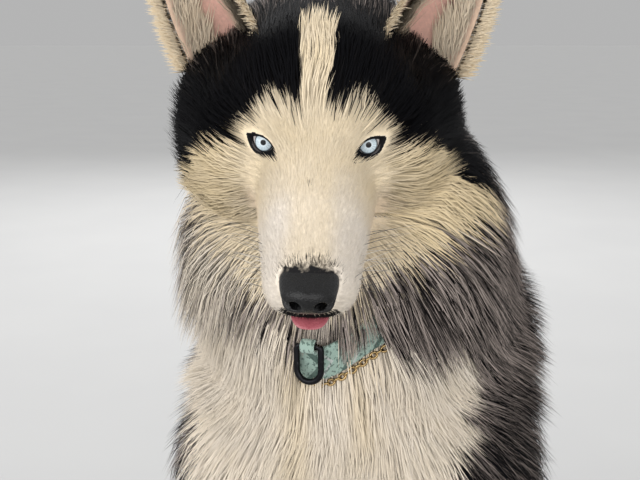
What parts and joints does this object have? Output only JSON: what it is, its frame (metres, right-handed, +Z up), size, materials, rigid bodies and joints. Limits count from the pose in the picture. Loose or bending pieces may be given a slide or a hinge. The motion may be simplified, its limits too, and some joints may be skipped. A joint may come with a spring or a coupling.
{
  "type": "sitting siberian husky",
  "caption": "Life-size husky with a long coat, sitting, its head bowed and turned a little to its left, wearing a webbing collar with a ring and a thin chain.",
  "frame": {"origin": "middle of the bounding box at its bottom, on the floor that the dog sits on", "axes": "+Z up, the dog faces -Y, and its left side is +X"},
  "size_m": [0.4394, 0.7644, 0.8221],
  "materials": {
    "face_fur": "dense short cream and white fur, with a black cap and eye rims",
    "ear_fur": "short black fur outside, pale pink skin and cream fluff inside",
    "ruff_fur": "long double coat, white below and black with silver tips above",
    "body_fur": "medium long double coat, black with silver, white below",
    "leg_fur": "short dense cream white fur",
    "eye": "wet, ice blue iris with a dark rim and a small pupil",
    "nose_leather": "black, finely pebbled and moist",
    "tongue": "pink and moist",
    "claw": "dark horn",
    "webbing": "mint woven tape with pale and dark marks",
    "black_metal": "black enamelled steel wire",
    "chain_metal": "aged gold-brown metal",
    "buckle": "black moulded plastic"
  },
  "bodies": {
    "root": {"head": "face_fur", "jaw": "face_fur", "nose": "nose_leather", "tongue": "tongue", "eye_left": "eye", "eye_right": "eye", "ear_left": "ear_fur", "ear_right": "ear_fur", "neck": "ruff_fur", "torso": "body_fur", "foreleg_left": "leg_fur", "foreleg_right": "leg_fur", "forepaw_left": "leg_fur", "forepaw_right": "leg_fur", "thigh_left": "body_fur", "thigh_right": "body_fur", "hindleg_left": "leg_fur", "hindleg_right": "leg_fur", "hindpaw_left": "leg_fur", "hindpaw_right": "leg_fur", "tail_base": "body_fur", "tail_mid": "body_fur", "tail_tip": "body_fur", "chain": "chain_metal", "collar": "webbing", "collar_buckle": "buckle", "collar_loop": "webbing", "collar_ring": "black_metal", "fore_claw_left_1": "claw", "fore_claw_left_2": "claw", "fore_claw_left_3": "claw", "fore_claw_left_4": "claw", "fore_claw_right_1": "claw", "fore_claw_right_2": "claw", "fore_claw_right_3": "claw", "fore_claw_right_4": "claw", "hind_claw_left_1": "claw", "hind_claw_left_2": "claw", "hind_claw_left_3": "claw", "hind_claw_left_4": "claw", "hind_claw_right_1": "claw", "hind_claw_right_2": "claw", "hind_claw_right_3": "claw", "hind_claw_right_4": "claw"}
  },
  "joints": []
}
